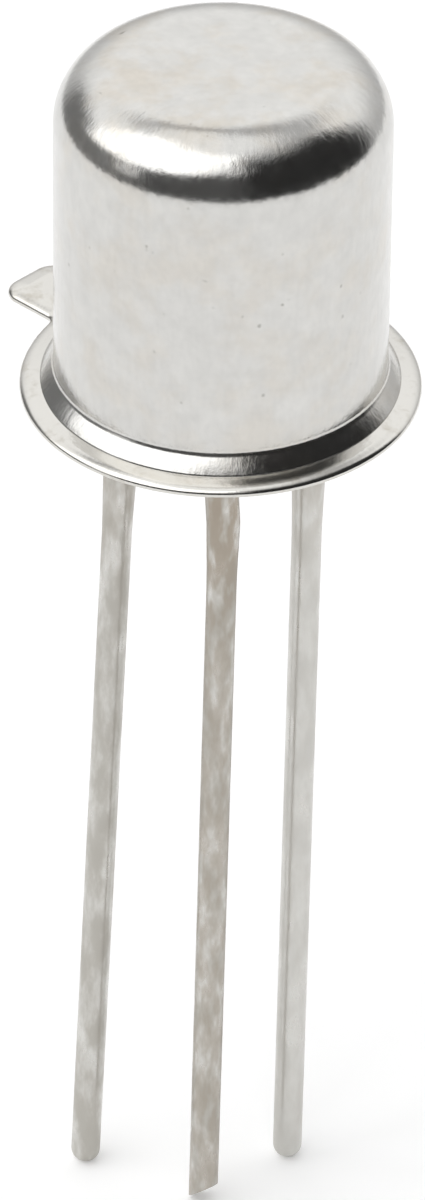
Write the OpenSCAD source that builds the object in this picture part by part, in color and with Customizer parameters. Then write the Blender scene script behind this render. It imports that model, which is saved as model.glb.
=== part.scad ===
// Bipolar transistor in a hermetic metal can with three wire leads.
//
// The origin is at the centre of the seating plane, the underside of the header's flange.
// +Z runs up the axis of the can, and the leads hang down.
// The emitter lead is on -X, the base lead on -Y and the collector lead on +X.
// All sizes are in millimetres.

/* [Can] */
// Outer diameter of the can's wall
can_d = 4.70; // [4.52:0.01:4.95]
// Height of the can's top above the seating plane
can_h = 5.25; // [4.32:0.01:5.33]
// Thickness of the sheet that the can is drawn from
can_wall = 0.20; // [0.15:0.01:0.25]
// Outer radius of the rounded shoulder
shoulder_r = 0.92; // [0.50:0.01:1.20]
// Radius of the hollow fillet where the wall turns out into the flange
flare_r = 0.14; // [0.05:0.01:0.20]
// How far the can's flange stands out from its wall
can_flange_w = 0.19; // [0.18:0.01:0.26]
// Slope of the can's flange where its broad rounding begins
flange_slope = 48; // [40:1:49]
// Slope of the can's flange where its rounding hands over to the lip
lip_slope = 54; // [53:1:60]
// Radius of the can's lip
lip_r = 0.04; // [0.03:0.01:0.08]

/* [Header] */
// Outer diameter of the header's flange
header_flange_d = 5.66; // [5.58:0.01:5.84]
// Thickness of the header's flange
header_flange_t = 0.16; // [0.15:0.01:0.30]
// Gap all round between the eyelet and the inside of the can
eyelet_gap = 0.10; // [0.05:0.01:0.15]
// Wall thickness of the eyelet
eyelet_wall = 0.25; // [0.18:0.01:0.30]
// Height of the platform's top above the seating plane
platform_h = 1.00; // [0.80:0.01:1.20]
// Thickness of the platform
platform_t = 0.25; // [0.20:0.01:0.35]
// Radius of the platform's outer edge
platform_edge_r = 0.15; // [0.05:0.01:0.20]
// Radius of the fillets inside the eyelet
eyelet_fillet_r = 0.10; // [0.05:0.01:0.15]
// Diameter of the platform holes that the insulated posts pass through
seal_hole_d = 0.90; // [0.80:0.01:1.00]
// How far the glass stands back from the seating plane, inside the eyelet
glass_recess = 0.05; // [0.02:0.01:0.12]

/* [Index tab] */
// Width of the tab
tab_w = 1.10; // [0.91:0.01:1.17]
// Length of the tab beyond the edge of the flange
tab_l = 1.03; // [0.71:0.01:1.22]
// Radius of the tab's two corners
tab_corner_r = 0.33; // [0.05:0.01:0.40]
// Radius of the fillets at the root of the tab
tab_root_r = 0.15; // [0.05:0.01:0.30]
// Direction of the tab, turned from +X
tab_angle = 136.5; // [130:0.5:140]

/* [Leads] */
// Diameter of the circle that the leads stand on
pin_circle_d = 2.54; // [2.44:0.01:2.64]
// Diameter of a lead
lead_d = 0.43; // [0.41:0.01:0.53]
// How much thicker a lead's root is all round, just below the header
root_swell = 0.025; // [0.015:0.005:0.050]
// Length of the taper from the root to the lead
root_taper_l = 1.10; // [0.50:0.05:2.00]
// Length of the leads below the seating plane
lead_l = 13.8; // [12.7:0.1:15.0]
// Height of the posts above the platform
post_h = 0.45; // [0.30:0.01:0.60]
// Chamfer round the top of a post
post_chamfer = 0.03; // [0.01:0.005:0.06]
// Depth below the seating plane at which a lead first bends
first_bend = 0.30; // [0.20:0.05:0.60]
// Depth below the seating plane at which a lead bends again
second_bend = 1.50; // [1.00:0.05:2.00]

/* [Set of the leads] */
// How far the emitter lead is splayed sideways at its second bend
emitter_splay = -0.14; // [-0.20:0.01:0.20]
// How far the emitter lead's tip stands sideways from its post
emitter_tip_x = -0.63; // [-0.80:0.01:0.80]
// How far the emitter lead's tip stands back from its post
emitter_tip_y = -0.20; // [-0.80:0.01:0.80]
// How far the base lead is splayed sideways at its second bend
base_splay = 0.06; // [-0.20:0.01:0.20]
// How far the base lead's tip stands sideways from its post
base_tip_x = -0.13; // [-0.80:0.01:0.80]
// How far the base lead's tip stands back from its post
base_tip_y = 0.11; // [-0.80:0.01:0.80]
// How far the collector lead is splayed sideways at its second bend
collector_splay = -0.01; // [-0.20:0.01:0.20]
// How far the collector lead's tip stands sideways from its post
collector_tip_x = -0.15; // [-0.80:0.01:0.80]
// How far the collector lead's tip stands back from its post
collector_tip_y = -0.04; // [-0.80:0.01:0.80]
// Slope of the base lead's shear-cut end, up towards +X
shear_slope_x = 29; // [0:1:45]
// Slope of the base lead's shear-cut end, up towards -Y
shear_slope_y = 31; // [0:1:45]

/* [Chip] */
// Side of the square silicon die
die_w = 0.50; // [0.48:0.01:0.60]
// Thickness of the die
die_t = 0.18; // [0.10:0.01:0.25]
// Margin of the die-attach solder round the die
attach_margin = 0.03; // [0.01:0.01:0.05]
// Thickness of the die-attach solder
attach_t = 0.02; // [0.01:0.005:0.04]
// Side of a square contact pad
pad_w = 0.12; // [0.10:0.01:0.13]
// Thickness of a contact pad
pad_t = 0.01; // [0.005:0.001:0.02]
// Distance from the die's edge to a pad
pad_inset = 0.05; // [0.03:0.01:0.06]

/* [Bond wires] */
// Diameter of a bond wire
wire_d = 0.038; // [0.025:0.001:0.050]
// Rise of a wire's loop above the line between its two bonds
loop_h = 0.30; // [0.10:0.01:0.50]
// Length of the flattened bond at each end of a wire
bond_l = 0.08; // [0.05:0.01:0.09]
// Share of the wire's height that is left in a flattened bond
bond_squash = 0.6; // [0.4:0.05:0.9]

/* [Hidden] */

$fn = 96;

// Directions of the three leads on the pin circle, turned from +X
emitter_angle = 180;
base_angle = 270;
collector_angle = 0;

// Overshoot of a cutting shape past the face that it cuts
cut = 1;
// Farther than any point of the model is from the origin
far = 2 * (lead_l + can_h);
// How far neighbouring arcs of the flange reach into each other, so that they cross cleanly
graze = 0.0002;

// Can, from the sheet's thickness
can_r = can_d / 2;
can_inner_r = can_r - can_wall;
// The flange runs down from the wall through the flare, the broad rounding and the lip.
flange_dir = [sin(flange_slope), cos(flange_slope)];
lip_dir = [sin(lip_slope), cos(lip_slope)];
lip_centre = [can_r + can_flange_w - lip_r, header_flange_t];
rounding_w = can_flange_w - lip_r * (1 - lip_dir.x) - flare_r * (1 - flange_dir.x);
rounding_r = rounding_w / (lip_dir.x - flange_dir.x);
rounding_centre = lip_centre + (lip_r - rounding_r) * lip_dir;
flare_centre = rounding_centre + (rounding_r + flare_r) * flange_dir;

// Header, from the can that it fits
header_flange_r = header_flange_d / 2;
eyelet_r = can_inner_r - eyelet_gap;
cavity_r = eyelet_r - eyelet_wall;
cavity_top = platform_h - platform_t;
seal_hole_r = seal_hole_d / 2;

// Leads
pin_r = pin_circle_d / 2;
lead_r = lead_d / 2;
root_r = lead_r + root_swell;
// The taper starts inside the root's round end, a little thinner than it
taper_start = 0.8;
taper_r = lead_r + taper_start * root_swell;
post_top = platform_h + post_h;

// Chip
die_bottom = platform_h + attach_t;
die_top = die_bottom + die_t;
pad_top = die_top + pad_t;
pad_r = die_w / 2 - pad_inset - pad_w / 2;

// Bond wires are eight-sided, with a flat side down
wire_sides = 8;
wire_steps = 16;
wire_r = wire_d / 2;
flat_share = cos(180 / wire_sides);
bond_half_h = wire_r * bond_squash;
bond_half_w = wire_r / bond_squash;

// ---------------------------------------------------------------- shared shapes

// Sector of a disc from one angle to another, less than half a turn apart.
module sector(r, from, to) {
    reach = 2 * r;
    mid = (from + to) / 2;
    intersection() {
        circle(r);
        polygon([
            [0, 0],
            reach * [cos(from), sin(from)],
            reach * [cos(mid), sin(mid)],
            reach * [cos(to), sin(to)],
        ]);
    }
}

// Region between a vertical wall and a floor, for a concave fillet of radius r.
module corner_fill(r) {
    difference() {
        square(r);
        translate([r, r]) circle(r);
    }
}

// Rectangle from the axis out to r, with its outer top corner rounded.
module round_topped(r, bottom, top, corner) {
    translate([0, bottom]) square([r, top - corner - bottom]);
    translate([0, bottom]) square([r - corner, top - bottom]);
    translate([r - corner, top - corner]) circle(corner);
}

// The right-hand half of a profile, which is the part that may be revolved.
module right_half() {
    intersection() {
        children();
        translate([0, -far]) square([far, 2 * far]);
    }
}

// Moves what runs up +Z from the origin so that it runs from a point in a direction.
module aim(from, dir) {
    translate(from) rotate([0, acos(dir.z), atan2(dir.y, dir.x)]) children();
}

function unit(v) = v / norm(v);

// ------------------------------------------------------------------------- can

// Profile that runs parallel to the can's outer face, a depth inside it.
module can_profile(depth, bottom) {
    flare_end = flare_centre - (flare_r + depth) * flange_dir;
    round_topped(can_r - depth, bottom, can_h - depth, shoulder_r - depth);
    difference() {
        union() {
            translate([0, bottom]) square([flare_end.x, flare_centre.y - bottom]);
            translate(rounding_centre)
                sector(rounding_r - depth - graze, 90 - lip_slope, 90 - flange_slope);
        }
        translate(flare_centre) circle(flare_r + depth + 2 * graze);
    }
}

module can_outside() {
    intersection() {
        union() {
            can_profile(0, header_flange_t);
            translate(lip_centre) circle(lip_r);
        }
        translate([0, header_flange_t]) square(far);
    }
}

// Drawn in one piece: a cup with a rounded shoulder and a flange turned out at its mouth.
module cap() {
    color("gainsboro")
    rotate_extrude()
    right_half()
    difference() {
        can_outside();
        can_profile(can_wall, header_flange_t - cut);
    }
}

// ---------------------------------------------------------------------- header

// Outline of the header's flange with its index tab, seen from above.
module flange_outline() {
    circle(header_flange_r);
    rotate(tab_angle) {
        tab();
        tab_root();
        mirror([0, 1]) tab_root();
    }
}

module tab() {
    tip = header_flange_r + tab_l;
    half_w = tab_w / 2;
    square_l = tip - tab_corner_r;
    translate([0, -half_w]) square([square_l, tab_w]);
    translate([0, tab_corner_r - half_w]) square([tip, tab_w - 2 * tab_corner_r]);
    for (side = [-1, 1])
        translate([square_l, side * (half_w - tab_corner_r)]) circle(tab_corner_r);
}

// Fillet that touches the side of the tab and the rim of the flange.
module tab_root() {
    centre_y = tab_w / 2 + tab_root_r;
    centre_x = sqrt(pow(header_flange_r + tab_root_r, 2) - pow(centre_y, 2));
    on_rim = header_flange_r / (header_flange_r + tab_root_r) * [centre_x, centre_y];
    difference() {
        polygon([[0, 0], [centre_x, 0], [centre_x, centre_y], on_rim]);
        translate([centre_x, centre_y]) circle(tab_root_r);
    }
}

// Hollow of the eyelet, from the seating plane up to the platform.
module cavity_profile() {
    round_topped(cavity_r, -cut, cavity_top, eyelet_fillet_r);
    translate([cavity_r, 0]) corner_fill(eyelet_fillet_r);
}

module eyelet_profile() {
    round_topped(eyelet_r, 0, platform_h, platform_edge_r);
    translate([eyelet_r, header_flange_t]) corner_fill(eyelet_gap);
}

// Holes in the platform for the two insulated posts.
module seal_holes(top) {
    for (angle = [emitter_angle, base_angle])
        rotate(angle)
            translate([pin_r, 0, cavity_top - eyelet_fillet_r])
                cylinder(h = top - cavity_top + eyelet_fillet_r, r = seal_hole_r);
}

// Stamped in one piece: the flange with its tab, and the eyelet raised from it.
module header() {
    color("lightgoldenrodyellow")
    difference() {
        union() {
            linear_extrude(header_flange_t) flange_outline();
            rotate_extrude() right_half() eyelet_profile();
        }
        rotate_extrude() right_half() cavity_profile();
        seal_holes(platform_h + cut);
    }
}

// Fills the eyelet and both holes, and grips the leads.
module glass_seal() {
    color("darkslategray")
    difference() {
        union() {
            rotate_extrude()
            intersection() {
                right_half() cavity_profile();
                translate([0, glass_recess]) square([header_flange_r, cavity_top - glass_recess]);
            }
            seal_holes(platform_h);
        }
        for (angle = [emitter_angle, base_angle]) post_bore(angle, platform_h + cut);
        post_bore(collector_angle, cavity_top);
    }
}

module post_bore(angle, top) {
    rotate(angle)
        translate([pin_r, 0, -cut])
            cylinder(h = top + cut, d = lead_d);
}

// ----------------------------------------------------------------------- leads

// A lead runs straight down to its first bend, straight to its second, and straight to its tip.
function lead_foot(angle) = pin_r * [cos(angle), sin(angle), 0];
// It leans back evenly from its first bend down.
function lead_corners(angle, splay, tip_x, tip_y) =
    let (
        foot = lead_foot(angle),
        splay_y = tip_y * (second_bend - first_bend) / (lead_l - first_bend)
    )
    [
        foot + [0, 0, -first_bend],
        foot + [splay, splay_y, -second_bend],
        foot + [tip_x, tip_y, -lead_l],
    ];

// The straight piece that is held in the glass, up to the top of the post.
// The top is chamfered where a wire is bonded to it.
module post(bottom, top, chamfer) {
    translate(bottom) cylinder(h = top - chamfer - bottom.z, r = lead_r);
    if (chamfer > 0)
        translate([bottom.x, bottom.y, top - chamfer])
            cylinder(h = chamfer, r1 = lead_r, r2 = lead_r - chamfer);
}

// The thicker root between the two bends, with round ends that make the bends.
// It is turned a quarter round its own axis, so that it starts away from where the shank starts.
module root(from, to) {
    l = norm(to - from);
    aim(from, unit(to - from))
        rotate(90)
        rotate_extrude()
            right_half() {
                circle(root_r);
                square([root_r, l]);
                translate([0, l]) circle(root_r);
            }
}

// The long straight from the second bend to the tip, with the taper at its start.
// A tip that is not rounded runs on past its end, to be nipped off there.
module shank(from, to, round_tip) {
    l = norm(to - from);
    straight_end = round_tip ? l - lead_r : l + lead_r;
    aim(from, unit(to - from))
        rotate_extrude()
            right_half() {
                polygon([
                    [0, 0],
                    [taper_r, 0],
                    [lead_r, root_taper_l],
                    [lead_r, straight_end],
                    [0, straight_end],
                ]);
                if (round_tip) translate([0, straight_end]) circle(lead_r);
            }
}

module lead(angle, top, chamfer, splay, tip_x, tip_y, round_tip) {
    corners = lead_corners(angle, splay, tip_x, tip_y);
    post(corners[0], top, chamfer);
    root(corners[0], corners[1]);
    shank(corners[1], corners[2], round_tip);
}

module emitter_lead() {
    color("silver")
    lead(
        emitter_angle, post_top, post_chamfer,
        emitter_splay, emitter_tip_x, emitter_tip_y, round_tip = true
    );
}

// Its end was nipped off at a slant, and not rounded.
module base_lead() {
    tip = lead_corners(base_angle, base_splay, base_tip_x, base_tip_y)[2];
    reach = 4 * lead_d;
    color("silver")
    difference() {
        lead(
            base_angle, post_top, post_chamfer,
            base_splay, base_tip_x, base_tip_y, round_tip = false
        );
        translate(tip + [0, 0, lead_r])
            rotate([-shear_slope_y, -shear_slope_x, 0])
                translate([-reach / 2, -reach / 2, -reach])
                    cube(reach);
    }
}

// Welded to the underside of the platform, so that the can is the collector too.
module collector_lead() {
    color("silver")
    lead(
        collector_angle, cavity_top, 0,
        collector_splay, collector_tip_x, collector_tip_y, round_tip = true
    );
}

// ------------------------------------------------------------------------ chip

module block(w, bottom, t) {
    translate([-w / 2, -w / 2, bottom]) cube([w, w, t]);
}

module silicon_die() {
    color("slategray") block(die_w, die_bottom, die_t);
}

module die_attach() {
    color("goldenrod") block(die_w + 2 * attach_margin, platform_h, attach_t);
}

module contact_pad(angle) {
    color("gainsboro") rotate(angle) translate([pad_r, 0, 0]) block(pad_w, die_top, pad_t);
}

module emitter_pad() {
    contact_pad(emitter_angle);
}

module base_pad() {
    contact_pad(base_angle);
}

// ------------------------------------------------------------------ bond wires

// A wire's centre line lies in the plane through the can's axis and its post.
// Each entry is [x, z, slope angle, half width, half height].
wire_x0 = pad_r;
wire_x1 = pin_r;
wire_z0 = pad_top + bond_half_h * flat_share;
wire_z1 = post_top + bond_half_h * flat_share;
wire_span = wire_x1 - wire_x0 - bond_l;

function wire_z(t) =
    wire_z0 + (wire_z1 - wire_z0) * (3 - 2 * t) * t * t + loop_h * pow(sin(180 * t), 2);
function wire_slope(t) =
    atan2((wire_z1 - wire_z0) * 6 * t * (1 - t) + loop_h * PI * sin(360 * t), wire_span);
function wire_station(i) =
    let (t = i / wire_steps, at_bond = i == 0 || i == wire_steps)
    [
        wire_x0 + bond_l / 2 + wire_span * t,
        wire_z(t),
        wire_slope(t),
        at_bond ? bond_half_w : wire_r,
        at_bond ? bond_half_h : wire_r,
    ];
function wire_stations() = concat(
    [[wire_x0 - bond_l / 2, wire_z0, 0, bond_half_w, bond_half_h]],
    [for (i = [0:wire_steps]) wire_station(i)],
    [[wire_x1 + bond_l / 2, wire_z1, 0, bond_half_w, bond_half_h]]
);

// Corner k of the wire's section at a station.
function wire_corner(s, k) =
    let (a = 360 * (k + 0.5) / wire_sides, up = s[4] * sin(a))
    [s[0] - up * sin(s[2]), s[3] * cos(a), s[1] + up * cos(s[2])];

module bond_wire(angle) {
    stations = wire_stations();
    n = len(stations);
    m = wire_sides;
    points = [for (s = stations, k = [0:m - 1]) wire_corner(s, k)];
    sides = [
        for (i = [0:n - 2], k = [0:m - 1])
            let (a = i * m + k, b = i * m + (k + 1) % m)
            [a, b, b + m, a + m]
    ];
    start_face = [for (k = [0:m - 1]) m - 1 - k];
    end_face = [for (k = [0:m - 1]) (n - 1) * m + k];
    color("gold") rotate(angle) polyhedron(points, concat([start_face], sides, [end_face]));
}

module emitter_bond_wire() {
    bond_wire(emitter_angle);
}

module base_bond_wire() {
    bond_wire(base_angle);
}

// ------------------------------------------------------------------- the model

cap();
header();
glass_seal();
emitter_lead();
base_lead();
collector_lead();
silicon_die();
die_attach();
emitter_pad();
base_pad();
emitter_bond_wire();
base_bond_wire();
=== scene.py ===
import math

import bmesh
import bpy
from mathutils import Matrix, Vector


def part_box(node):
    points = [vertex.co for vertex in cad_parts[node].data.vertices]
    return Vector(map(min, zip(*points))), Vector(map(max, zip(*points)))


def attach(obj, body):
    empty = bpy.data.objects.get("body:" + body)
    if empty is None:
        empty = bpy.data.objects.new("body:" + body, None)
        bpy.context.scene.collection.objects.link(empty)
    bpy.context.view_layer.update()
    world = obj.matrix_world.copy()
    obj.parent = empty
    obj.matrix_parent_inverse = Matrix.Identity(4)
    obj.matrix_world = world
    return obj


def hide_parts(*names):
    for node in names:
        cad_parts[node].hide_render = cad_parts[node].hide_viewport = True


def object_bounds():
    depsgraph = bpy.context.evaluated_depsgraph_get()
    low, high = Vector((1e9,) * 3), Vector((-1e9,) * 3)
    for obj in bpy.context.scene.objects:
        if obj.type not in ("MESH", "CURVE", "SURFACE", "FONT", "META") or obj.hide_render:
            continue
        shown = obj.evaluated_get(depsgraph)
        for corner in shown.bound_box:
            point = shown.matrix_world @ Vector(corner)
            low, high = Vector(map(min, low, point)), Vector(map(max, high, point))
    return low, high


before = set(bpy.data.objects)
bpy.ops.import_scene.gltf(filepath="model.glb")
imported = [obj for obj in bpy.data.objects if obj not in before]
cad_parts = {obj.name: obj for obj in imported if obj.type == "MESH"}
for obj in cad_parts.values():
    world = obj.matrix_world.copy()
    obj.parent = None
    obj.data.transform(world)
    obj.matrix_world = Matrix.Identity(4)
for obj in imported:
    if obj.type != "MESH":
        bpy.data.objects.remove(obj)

bl_info = {
    "name": "Metal-Can Transistor",
    "version": (1, 0, 0),
    "blender": (4, 5, 0),
    "location": "3D View > Sidebar > Transistor",
    "description": "Builds the visible pieces, the finishes and the studio of a transistor in a metal can",
    "category": "Add Mesh",
}

BODY = "root"
MM = 0.001

# The model's box before anything is dressed
CAD_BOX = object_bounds()

# Heights and reaches that the CAD model fixes
CAN_LOW, CAN_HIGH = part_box("cap")
HEADER_LOW, HEADER_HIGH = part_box("header")
EMITTER_LOW, EMITTER_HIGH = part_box("emitter_lead")
BASE_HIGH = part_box("base_lead")[1]
COLLECTOR_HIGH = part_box("collector_lead")[1]

# Quarter of a turn
QUARTER = math.pi / 2
# Steps round the can and the header, and along the arcs of their profiles
TURNS = 240
ARC_STEPS = 24
TAB_STEPS = 12
EDGE_STEPS = 10
FILLET_STEPS = 8
BURR_STEPS = 6
# Steps round a seal hole, round a lead, along a lead's bend and round the paper
HOLE_STEPS = 64
WIRE_STEPS = 32
BEND_STEPS = 12
PAPER_STEPS = 96
# Angles from which the edges of the header and of the leads are drawn sharp
HEADER_CREASE = math.radians(40)
LEAD_CREASE = math.radians(35)
# Distance of a supporting ring from the end of a straight stretch, so that its shading stays straight
SUPPORT = 0.012 * MM
# Distance below which two points, or a point and the axis, are one, and the same along a lead's mesh
TINY = 1e-9
MERGE = 1e-7


# ---------------------------------------------------------------------- properties

def length(name, description, millimetres):
    """A size in metres, given in millimetres."""
    return bpy.props.FloatProperty(
        name=name, description=description, default=millimetres * MM, unit="LENGTH", precision=6)


def angle(name, description, degrees):
    """An angle in radians, given in degrees."""
    return bpy.props.FloatProperty(
        name=name, description=description, default=math.radians(degrees), unit="ROTATION")


def number(name, description, value):
    """A plain number without a unit."""
    return bpy.props.FloatProperty(name=name, description=description, default=value, precision=3)


def linear(hex_colour):
    """Linear RGBA of an sRGB colour that is written as six hex digits."""
    channels = [int(hex_colour[i:i + 2], 16) / 255 for i in (0, 2, 4)]
    return [c / 12.92 if c <= 0.04045 else ((c + 0.055) / 1.055) ** 2.4 for c in channels] + [1.0]


def colour(name, description, hex_colour):
    """A colour, given as sRGB hex and kept as linear RGBA."""
    return bpy.props.FloatVectorProperty(
        name=name, description=description, default=linear(hex_colour),
        subtype="COLOR", size=4, min=0, max=1)


class CanSizes(bpy.types.PropertyGroup):
    wall_r: length("Wall radius", "Outer radius of the can's wall", 2.35)
    sheet: length("Sheet", "Thickness of the sheet that the can is drawn from", 0.20)
    shoulder_r: length("Shoulder", "Outer radius of the rounded shoulder", 0.92)
    flare_r: length("Flare", "Radius of the hollow fillet between wall and flange", 0.14)
    lip_r: length("Lip", "Radius of the flange's lip", 0.04)
    flange_slope: angle("Flange slope", "Slope of the flange where its broad rounding begins", 48)
    lip_slope: angle("Lip slope", "Slope of the flange where its rounding hands over to the lip", 54)


class HeaderSizes(bpy.types.PropertyGroup):
    flange_r: length("Flange radius", "Radius of the header's flange", 2.83)
    edge_w: length("Edge width", "Width of the rounding of the flange's upper edge", 0.20)
    edge_h: length("Edge height", "Height of the rounding of the flange's upper edge", 0.10)
    border_w: length("Border", "Width of the border that the welding ring pressed down", 0.29)
    border_slope: angle("Border slope", "Slope of the flange's border, down towards its edge", 8)
    burr_r: length("Lower edge", "Rounding of the flange's lower edge, on the side of the burr", 0.03)
    eyelet_r: length("Eyelet radius", "Outer radius of the eyelet inside the can", 2.05)
    cavity_r: length("Cavity radius", "Radius of the hollow that the glass fills", 1.80)
    foot_r: length("Foot", "Hollow fillet between the eyelet and the flange", 0.10)
    platform_edge_r: length("Platform edge", "Rounding of the platform's outer edge", 0.15)
    mouth_r: length("Mouth", "Rounding of the cavity's mouth and of its inner corner", 0.10)
    seal_hole_r: length("Seal holes", "Radius of the holes that the insulated posts pass through", 0.45)
    tab_w: length("Tab width", "Width of the index tab", 1.10)
    tab_l: length("Tab length", "Reach of the index tab beyond the flange", 1.03)
    tab_corner_r: length("Tab corners", "Radius of the index tab's corners", 0.33)
    tab_root_r: length("Tab root", "Radius of the fillets at the root of the index tab", 0.15)
    tab_angle: angle("Tab direction", "Direction of the index tab, turned from +X", 136.5)


class LeadSizes(bpy.types.PropertyGroup):
    circle_r: length("Lead circle", "Radius of the circle that the leads stand on", 1.27)
    wire_r: length("Wire radius", "Radius of a lead", 0.215)
    swell: length("Swell", "How much thicker the solder makes a lead's root", 0.025)
    taper_l: length("Taper", "Length over which the thicker root tapers to the plain lead", 1.10)
    swell_top: length("Swell top", "Depth below the header at which the thicker root starts", 0.06)
    swell_full: length("Swell full", "Depth below the header at which the root is at its thickest", 0.20)
    first_bend: length("First bend", "Depth of the first bend below the seating plane", 0.30)
    second_bend: length("Second bend", "Depth of the second bend below the seating plane", 1.50)
    bend_r: length("Bend radius", "Radius of a lead's bends along its centre line", 0.80)
    chamfer: length("Chamfer", "Chamfer round the top of a post", 0.03)
    step: length("Step", "Distance between two rings of a lead's mesh", 0.022)
    emitter_splay: length("Emitter splay", "Sideways shift of the emitter lead's second bend", -0.14)
    emitter_tip_x: length("Emitter tip, sideways", "Shift of the emitter lead's tip", -0.63)
    emitter_tip_y: length("Emitter tip, back", "Shift of the emitter lead's tip", -0.20)
    base_splay: length("Base splay", "Sideways shift of the base lead's second bend", 0.06)
    base_tip_x: length("Base tip, sideways", "Shift of the base lead's tip", -0.13)
    base_tip_y: length("Base tip, back", "Shift of the base lead's tip", 0.11)
    collector_splay: length("Collector splay", "Sideways shift of the collector lead's second bend", -0.01)
    collector_tip_x: length("Collector tip, sideways", "Shift of the collector lead's tip", -0.15)
    collector_tip_y: length("Collector tip, back", "Shift of the collector lead's tip", -0.04)
    shear_x: angle("Shear, sideways", "Slope of the base lead's nipped end, up towards +X", 29)
    shear_y: angle("Shear, forwards", "Slope of the base lead's nipped end, up towards -Y", 31)
    shear_edge_w: length("Sheared edge width", "Width of the bevel round the nipped end", 0.012)
    shear_edge_h: length("Sheared edge height", "Height of the bevel round the nipped end", 0.008)
    blunt_tip: length("Blunt tip", "Rounding of the tip that the nipping then cuts off", 0.001)


class Finishes(bpy.types.PropertyGroup):
    nickel: colour("Nickel", "Colour of the clean nickel", "D3D2CF")
    nickel_warm: colour("Nickel, warm", "Tint of the nickel under a thin film of oxide", "CDC1AE")
    nickel_pit: colour("Nickel pits", "Colour of the pinholes in the nickel", "8C8982")
    plate: colour("Header plate", "Colour of the nickel on the header", "D6D4CF")
    plate_worn: colour("Header plate, worn", "Colour of the header where tumbling wore it", "C0BBB1")
    tin: colour("Tin", "Colour of fresh tin", "D3D2CE")
    # The dull tin is also painted shade on the left and middle leads, and the thin tin is also painted shade
    # on the middle lead
    tin_dull_and_shade: colour("Tin, dull", "Colour of the tin where it has frosted over", "B5B2AB")
    tin_bare_and_shade: colour("Tin, thin", "Colour of the wire's own metal where the tin is thin", "A1978A")
    glass: colour("Glass", "Colour of the sealing glass", "26322E")
    glass_skin: colour("Glass skin", "Colour of the fired skin on the glass", "4D5A54")
    silicon: colour("Silicon", "Colour of the lapped silicon", "565B66")
    oxide: colour("Oxide", "Colour that the thin oxide gives the top of the die", "3E4C86")
    aluminium: colour("Aluminium", "Colour of the evaporated aluminium", "D9DBDD")
    aluminium_grain: colour("Aluminium grain", "Colour of the coarser grains of the aluminium", "B5B9BE")
    gold_solder: colour("Gold solder", "Colour of the gold and silicon solder", "D8B56A")
    gold_dross: colour("Gold dross", "Colour of the grey skin on the solder", "96876A")
    gold: colour("Gold", "Colour of the drawn gold wire", "F0C877")


class Studio(bpy.types.PropertyGroup):
    camera_elevation: angle("Camera elevation", "Height of the line of sight above the horizon", 35.127)
    camera_roll: angle("Camera roll", "Turn of the camera round its line of sight", 0.601)
    camera_distance: length("Camera distance", "Distance from the camera to the seating plane's centre", 120)
    camera_right: length("Camera shift right", "Sideways shift from the line through the origin", -0.113)
    camera_up: length("Camera shift up", "Upward shift from the line through the origin", -3.027)
    camera_lens: number("Lens", "Focal length in millimetres on a sensor 36 mm long", 256.176)
    floor_r: length("Paper radius", "Radius of the round sheet of paper that the leads stand on", 100)
    floor_colour: colour("Paper colour", "Colour of the paper", "F2F2F2")
    floor_lift: number("Paper lift", "Light added to the paper where it is seen, up to white", 0.25)


# ------------------------------------------------------------------ shared geometry

def arc(centre, radius, start, end, steps=ARC_STEPS):
    """Points of an arc from one angle to another, in radians, with both ends."""
    return [
        (centre[0] + radius * math.cos(start + (end - start) * i / steps),
         centre[1] + radius * math.sin(start + (end - start) * i / steps))
        for i in range(steps + 1)
    ]


def with_supports(points):
    """Adds a point close to each end of every long straight stretch of an outline."""
    result = [points[0]]
    for here, there in zip(points, points[1:]):
        step = Vector(there) - Vector(here)
        if step.length > 4 * SUPPORT:
            near = step.normalized() * SUPPORT
            result += [tuple(Vector(here) + near), tuple(Vector(there) - near)]
        if step.length > TINY:
            result.append(there)
    return result


def join_rings(bm, lower, upper):
    """Faces between two rings of the same number of vertices, or between a ring and a pole."""
    count = max(len(lower), len(upper))
    for i in range(count):
        j = (i + 1) % count
        corners = [lower[i % len(lower)], lower[j % len(lower)], upper[j % len(upper)], upper[i % len(upper)]]
        bm.faces.new(list(dict.fromkeys(corners)))


def add_object(name, data):
    """Puts a new object into the scene."""
    result = bpy.data.objects.new(name, data)
    bpy.context.scene.collection.objects.link(result)
    return result


def mesh_object(bm, name):
    """Turns finished geometry into a piece with its faces outward and smooth."""
    bmesh.ops.recalc_face_normals(bm, faces=bm.faces)
    mesh = bpy.data.meshes.new(name)
    bm.to_mesh(mesh)
    bm.free()
    mesh.shade_smooth()
    return add_object(name, mesh)


def applied_mesh(piece):
    """A new mesh of a piece with its modifiers applied."""
    return bpy.data.meshes.new_from_object(piece.evaluated_get(bpy.context.evaluated_depsgraph_get()))


def dress(piece, material, slot, *nodes):
    """Gives a finished piece its material and its place in the model."""
    piece.data.materials.clear()
    piece.data.materials.append(material)
    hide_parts(*nodes)
    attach(piece, BODY)


# ------------------------------------------------------------------------------ can

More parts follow.
